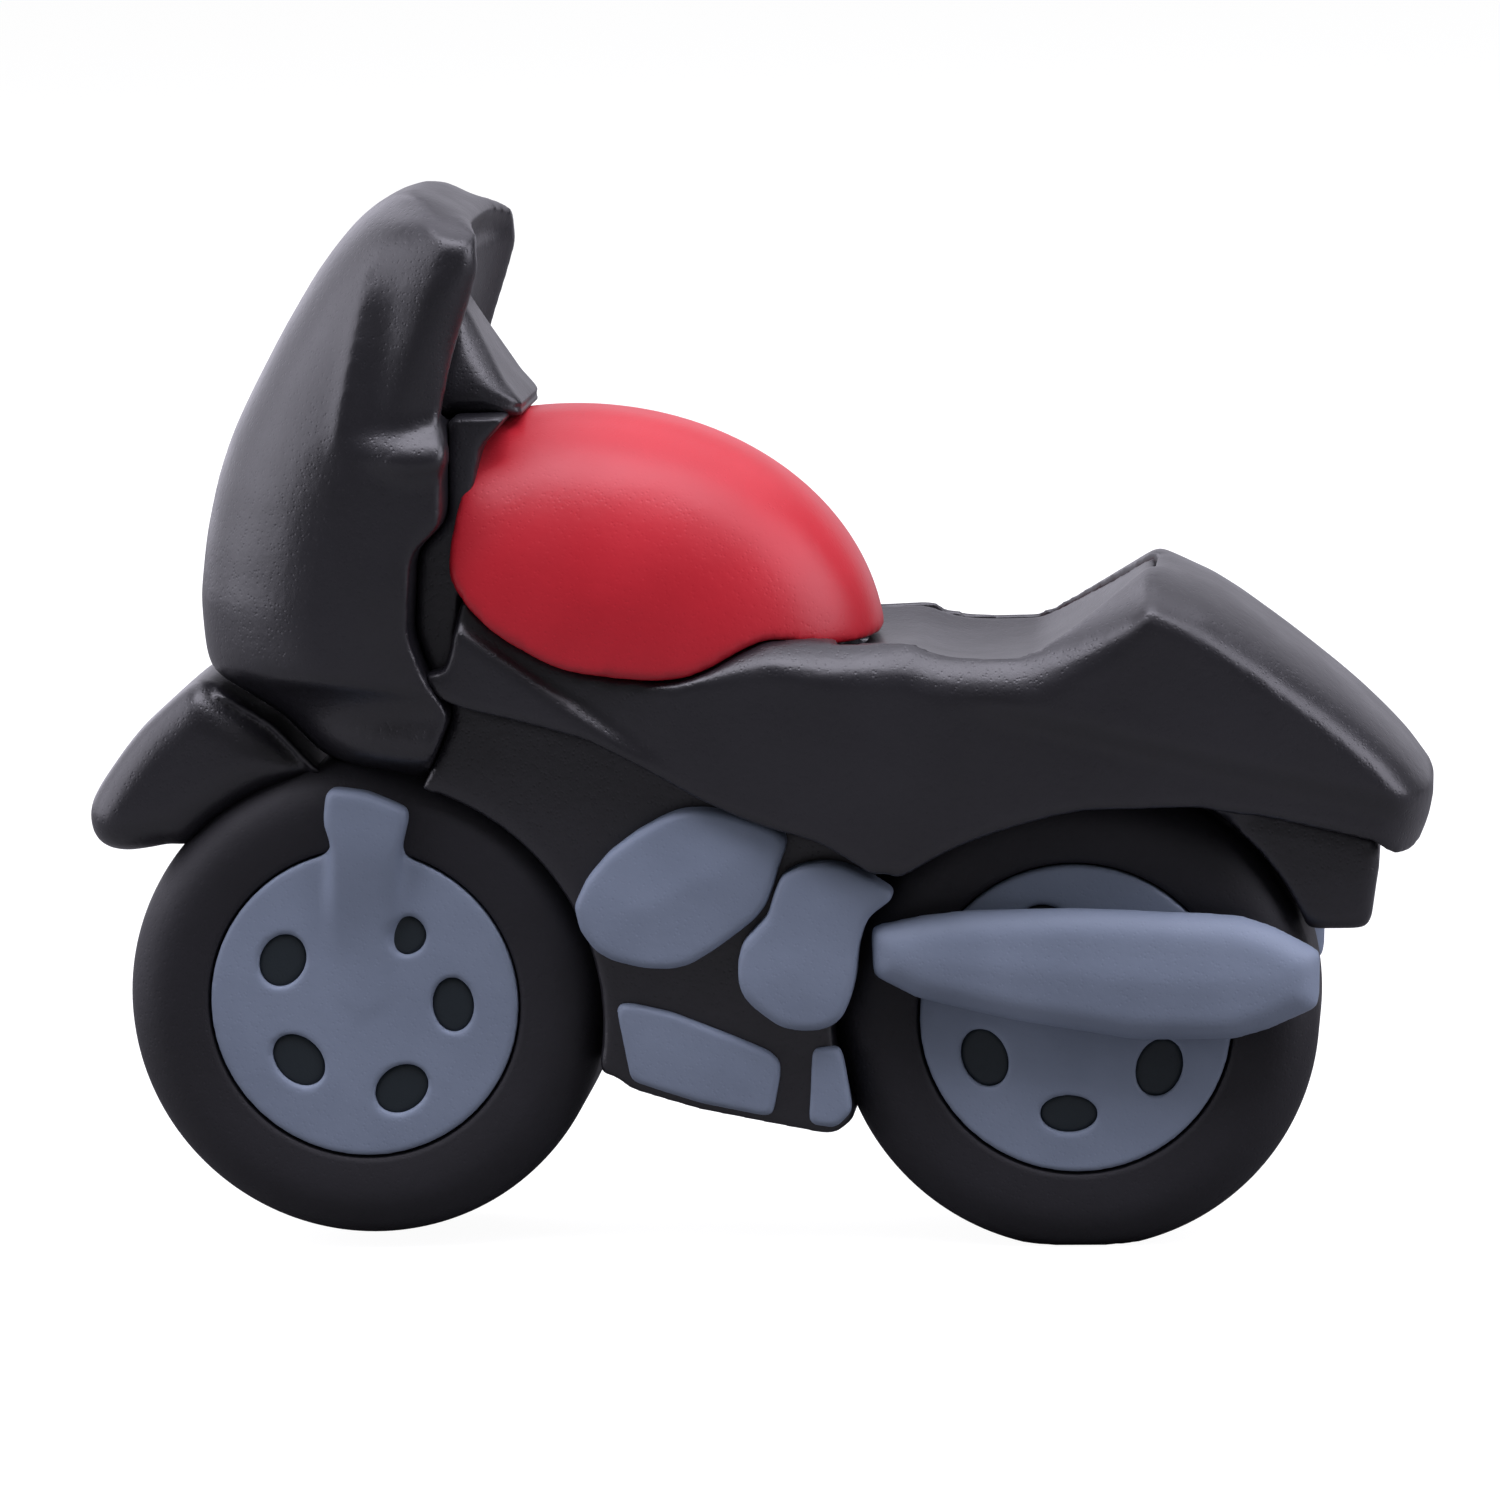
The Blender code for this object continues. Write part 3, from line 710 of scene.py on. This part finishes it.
def tank():
    grid = grid_of(["fuel_tank"], COARSE)
    piece("tank_skin", grid, tank_field(grid), RED, ["fuel_tank"])


# ---------------------------------------------------------------- body and seat

# Half-widths along the seat's rim, then along the body's flanks and the top edge of its shoulders
SEAT_X = (9.0, 19.0, 22.5, 26.6, 31.0, 34.0)
SEAT_HALF = (10.8, 11.7, 11.6, 8.8, 3.2, 1.2)
FLANK_X = (-26, -10, 6, 22, 31, 40, 49, 54)
FLANK_HALF = (12.7, 13.1, 13.9, 14.4, 13.8, 12.8, 11.2, 10)
EDGE_X = (-4, 1, 4, *SEAT_X)
EDGE_HALF = (13.0, 11.0, 10.3, *SEAT_HALF)
# How deep the shoulders roll over from that edge to the flank
ROLL_X = (-4, 1, 5, 12, 24, 34, 46, 52)
ROLL = (0.5, 2.2, 3.0, 3.4, 3.8, 3.6, 3.2, 2.4)
# Where the top and rear edges are read
SEAT_RIM_X = (12.7, 30.5)
OVER_SEAT_X = (-22.9, 38.0)
OVER_TAIL_X = (31.4, 52.2)
TAIL_END_Z = (31.6, 50.0)
SEAT_START = 7.0
SEAT_END = 31.0
SEAT_THICK = 3.0
SEAT_DISH = 1.1
SEAT_DROP = 0.25
SEAT_RIM = 0.35
SEAT_GAP = 0.1
# Past here the crest follows the tail's middle instead of the seat's rim
TAIL_START = 31.3
# The flank's front reaches this far forwards, under the fairing
FLANK_REACH = 1.6
FLANK_RIM = 0.7
# A band under the tank and the panel below the tail's crease are set back by this much
SET_BACK = 0.8
BAND_X = -23.0
BAND_Z = 50.2
BAND_FALL = 0.72
BAND_EDGE = (-0.2, 1.0)
BAND_END_X = (-14.0, -4.0)
CREASE_X = 22.0
CREASE_Z = 42.9
CREASE_FALL = 0.27
CREASE_EDGE = (-0.6, 1.6)
CREASE_START_X = (14.0, 26.0)
# The shoulders are cut nearly straight beside the tank and turn round towards the tail
SHOULDER_POWER = 1.4
SHOULDER_ROUNDING = 0.6
SHOULDER_X = (20.0, 30.0)
# Blur of the half-widths along the seat, and of the edges seen from the side
WIDTH_SOFT = 1.2
EDGE_SOFT = 0.5


def seat_half(grid):
    """Half-width of the seat's rim, which runs to a point at the tail's peak."""
    return eased(np.interp(grid.x, SEAT_X, SEAT_HALF), WIDTH_SOFT / grid.step)


def seat_floor(grid, below):
    """Height of the seat's rim less `below`, level beyond its two ends."""
    rim = edge_of(section("seat", MIDDLE_Y), np.clip(grid.side_x, *SEAT_RIM_X), BY_X, highest=True)
    return eased(rim, EDGE_SOFT / grid.step) - below


def body_half(grid):
    """Half-width of the flanks, set back in a band under the tank and below a crease to the tail."""
    above_line = grid.side_z - BAND_Z + BAND_FALL * (grid.side_x - BAND_X)
    band = ramp(above_line, *BAND_EDGE) * (1.0 - ramp(grid.side_x, *BAND_END_X))
    below_crease = CREASE_Z - CREASE_FALL * (grid.side_x - CREASE_X) - grid.side_z
    panel = ramp(below_crease, *CREASE_EDGE) * ramp(grid.side_x, *CREASE_START_X)
    return np.interp(grid.side_x, FLANK_X, FLANK_HALF) - SET_BACK * (band + panel)


def body():
    """Side panels and tail: shoulders under the seat, an arched tail, creases on the flank."""
    grid = grid_of(["main_body"], COARSE)
    flank = section("main_body", FLANK_Y)
    middle = section("main_body", MIDDLE_Y)
    side = np.minimum(body_side(grid), outline(grid, flank - (FLANK_REACH, 0.0)))
    over_seat = edge_of(flank, np.clip(grid.side_x, *OVER_SEAT_X), BY_X, highest=True)
    over_tail = edge_of(middle, np.clip(grid.side_x, *OVER_TAIL_X), BY_X, highest=True)
    crest = eased(np.where(grid.side_x < TAIL_START, over_seat, over_tail), EDGE_SOFT / grid.step)
    end = edge_of(middle, np.clip(grid.side_z, *TAIL_END_Z), BY_Z, highest=True)
    end = eased(end, EDGE_SOFT / grid.step)

    half = body_half(grid)
    walls = rounded(grid.lift(side), np.abs(grid.y) - grid.lift(half), FLANK_RIM)
    edge = eased(np.interp(grid.side_x, EDGE_X, EDGE_HALF), WIDTH_SOFT / grid.step)
    edge = np.minimum(edge, half - 0.4)
    roll = np.interp(grid.side_x, ROLL_X, ROLL)
    power = grid.lift(SHOULDER_POWER + SHOULDER_ROUNDING * ramp(grid.side_x, *SHOULDER_X))
    top_depth = (crest - grid.side_z) * squarely(crest, grid.step)
    top = rolled(grid, top_depth, half, edge, roll, power)
    back_depth = (end - grid.side_x) * squarely(end, grid.step)
    back = rolled(grid, back_depth, half, flat=3.0, roll=3.5)
    field = np.maximum(walls, common(top, back, 0.8))
    field = np.maximum(field, grid.lift(CLEAR - fairing_side(grid)))
    field = np.maximum(field, -wheel_room(grid, "rear"))

    above_floor = grid.lift(seat_floor(grid, SEAT_THICK + 0.3)) - grid.z
    room = np.maximum(above_floor, np.abs(grid.y) - seat_half(grid) - SEAT_GAP)
    room = np.maximum(room, np.maximum(SEAT_START - SEAT_GAP - grid.x, grid.x - SEAT_END - SEAT_GAP))
    field = np.maximum(field, np.maximum(-room, CLEAR - tank_field(grid)))
    piece("body_skin", grid, field, BLACK, ["main_body"])


def seat():
    """A dished pad with a soft rim, a little lower than the shoulders beside it."""
    grid = grid_of(["seat"], MEDIUM, margin=4.0)
    half = seat_half(grid)
    dish = SEAT_DISH * (1.0 - np.clip(np.abs(grid.y) / half, 0.0, 1.0) ** 2) * ramp(half, 2.0, 9.0)
    over = grid.z - grid.lift(seat_floor(grid, SEAT_DROP)) + dish
    under = grid.lift(seat_floor(grid, SEAT_THICK)) - grid.z
    side = np.maximum(np.abs(grid.y) - half + 0.2, grid.x - SEAT_END)
    field = rounded(side, np.maximum(over, under), SEAT_RIM)
    field = np.maximum(field, np.maximum(SEAT_START - grid.x, CLEAR - tank_field(grid)))
    piece("seat_skin", grid, field, BLACK, ["seat"])


# ---------------------------------------------------------------- engine core and mudguard

# How far the core's sides stand out from its CAD solid, and how much lower the mudguard reaches
CORE_SPREAD = 0.8
MUDGUARD_DROP = 1.0


def core():
    """The black ground that the engine's painted pads stand on."""
    grid = grid_of(["engine_core"], COARSE)
    shifts = [(0.0, 2.0), (-2.0, 0.0), (2.0, 0.0), (-1.5, 2.0), (1.5, 2.0)]
    side, cut = meeting(grid, "engine_core", shifts, [fairing_side(grid), body_side(grid)])
    field = slab(grid, side, cut, half_width("engine_core") + CORE_SPREAD, rim=0.7)
    for wheel in ("front", "rear"):
        field = np.maximum(field, CLEAR - wheel_drum(grid, wheel))
    piece("core_skin", grid, field, BLACK, ["engine_core"])


def mudguard():
    """The plate below the tail, which stops at the rear wheel."""
    grid = grid_of(["rear_mudguard"], MEDIUM)
    shifts = [(0.0, 2.0), (-2.0, 0.0), (-2.0, 2.0)]
    side, cut = meeting(grid, "rear_mudguard", shifts, [body_side(grid)])
    lower = outline(grid, section("rear_mudguard") - (0.0, MUDGUARD_DROP)) - SEAM
    field = slab(grid, np.minimum(side, lower), cut, half_width("rear_mudguard"), rim=1.0)
    field = np.maximum(field, CLEAR - wheel_drum(grid, "rear"))
    piece("mudguard_skin", grid, field, BLACK, ["rear_mudguard"])


# ---------------------------------------------------------------- painted relief on the sides

# Name, y of the inner face, radius of the rim, swell of the middle and sampling step
PADS = (
    ("cylinder_cover", 8.9, 0.6, 0.4, FINE),
    ("clutch_cover", 8.9, 0.6, 0.3, FINE),
    ("belly_plate", 8.9, 0.4, 0.2, FINE),
    ("belly_tab", 8.9, 0.4, 0.2, FINE),
    ("exhaust", 9.0, 2.2, 0.5, MEDIUM),
)
SWELL_REACH = 6.0


def relief(name, inner, rim, swell, step):
    """A swollen painted pad on each side, from the outline of its CAD node."""
    node = name + "_left"
    grid = grid_of([node], step)
    low, high = box_mm(node)
    side = outline(grid, section(node, (low[1] + high[1]) / 2), soft=0.3) - SEAM
    fall = swell * np.clip(side, -SWELL_REACH, 0.0) / SWELL_REACH
    face = -grid.y + low[1] + swell - 0.05 + grid.lift(fall)
    field = rounded(grid.lift(side), np.maximum(face, grid.y + inner), rim)
    both_sides(name + "_paint", grid, field, GREY, [name])


for wheel_name in ("front", "rear"):
    tyre(wheel_name)
    disc(wheel_name)
fairing()
fender()
console()
steering_head()
tank()
body()
seat()
core()
mudguard()
for pad in PADS:
    relief(*pad)


# ---------------------------------------------------------------- floor, light and camera

WHITE = (1.0, 1.0, 1.0, 1.0)
FLOOR_HALF = 3000.0
FLOOR_DROP_M = 0.00002
# Name, azimuth, elevation, width, height and radiance of each light
LIGHTS = (
    ("front", 82.0, 14.0, 0.66, 0.8, 2.5),
    ("beyond_front", 132.0, 18.0, 0.75, 0.7, 1.2),
    ("top", 0.0, 74.0, 1.0, 0.40, 5.8),
    ("overhead", 180.0, 66.0, 1.1, 0.7, 1.5),
    ("backdrop", 180.0, 15.0, 1.2, 0.5, 0.7),
    ("tail", 280.0, 26.0, 0.5, 0.6, 3.6),
)
LIGHT_AWAY_M = 0.75
LIGHT_AIM_M = 0.04
LIGHT_COLOUR = (0.98, 0.955, 1.10)


def seen_by_camera(nodes, wires, seen, unseen, socket):
    """Feeds the socket one value for what the camera sees and another for light and reflections."""
    path = nodes.new("ShaderNodeLightPath")
    choice = added(nodes, "ShaderNodeMix", {"A": unseen, "B": seen})
    wires.new(path.outputs["Is Camera Ray"], choice.inputs["Factor"])
    wires.new(choice.outputs["Result"], socket)


def stage():
    """A white floor and studio that stay dim in the toy's reflections."""
    corners = [(-1, -1, 0), (1, -1, 0), (1, 1, 0), (-1, 1, 0)]
    floor = mesh_from("floor", np.array(corners) * FLOOR_HALF, [(0, 1, 2, 3)])
    floor.location = (0.0, 0.0, -FLOOR_DROP_M)
    material = bpy.data.materials.new("pale_floor")
    nodes, wires = tree_of(material)
    shader = nodes["Principled BSDF"]
    shader.inputs["Base Color"].default_value = (0.2, 0.2, 0.2, 1.0)
    shader.inputs["Roughness"].default_value = 0.9
    shader.inputs["Specular IOR Level"].default_value = 0.0
    shader.inputs["Emission Color"].default_value = WHITE
    seen_by_camera(nodes, wires, 0.95, 0.0, shader.inputs["Emission Strength"])
    floor.data.materials.append(material)
    world = bpy.data.worlds.new("studio")
    nodes, wires = tree_of(world)
    background = nodes["Background"]
    background.inputs["Color"].default_value = WHITE
    seen_by_camera(nodes, wires, 1.6, 0.12, background.inputs["Strength"])
    bpy.context.scene.world = world


def softbox(name, azimuth, elevation, width_m, height_m, radiance):
    """A rectangular light around the toy; azimuth 0 is at the toy's left side, 90 at its front."""
    around = math.radians(azimuth)
    up = math.radians(elevation)
    place = Vector((-math.sin(around) * math.cos(up), -math.cos(around) * math.cos(up), math.sin(up)))
    data = bpy.data.lights.new(name, "AREA")
    data.shape = "RECTANGLE"
    data.size = width_m
    data.size_y = height_m
    data.energy = math.pi * width_m * height_m * radiance
    data.color = LIGHT_COLOUR
    light = bpy.data.objects.new(name, data)
    light.visible_camera = False
    light.location = place * LIGHT_AWAY_M + Vector((0.0, 0.0, LIGHT_AIM_M))
    light.rotation_euler = (-place).to_track_quat("-Z", "Y").to_euler()
    bpy.context.scene.collection.objects.link(light)


def camera():
    """A long lens a little above the toy and a little towards its tail."""
    azimuth = math.radians(5.5)
    elevation = math.radians(9.0)
    roll = math.radians(-1.44)
    distance_m = 0.6
    framed_width_m = 0.11755
    lower_m = 0.0027
    aside_m = 0.00098
    down_m = 0.00063
    back = Vector((math.sin(azimuth) * math.cos(elevation), -math.cos(azimuth) * math.cos(elevation),
                   math.sin(elevation)))
    right = Vector((math.cos(azimuth), math.sin(azimuth), 0.0))
    up = back.cross(right)
    middle_z_m = (cad_low[2] + cad_high[2]) / 2
    target = Vector((0.0, 0.0, middle_z_m - lower_m)) - right * aside_m - up * down_m
    data = bpy.data.cameras.new("camera")
    data.sensor_width = 36.0
    data.lens = data.sensor_width * distance_m / framed_width_m
    data.clip_start = 0.01
    made = bpy.data.objects.new("camera", data)
    made.location = target + back * distance_m
    level = back.to_track_quat("Z", "Y")
    made.rotation_euler = (level @ Quaternion((0.0, 0.0, 1.0), roll)).to_euler()
    bpy.context.scene.collection.objects.link(made)
    bpy.context.scene.camera = made


bpy.context.scene.view_settings.view_transform = "Standard"
stage()
for light_box in LIGHTS:
    softbox(*light_box)
camera()
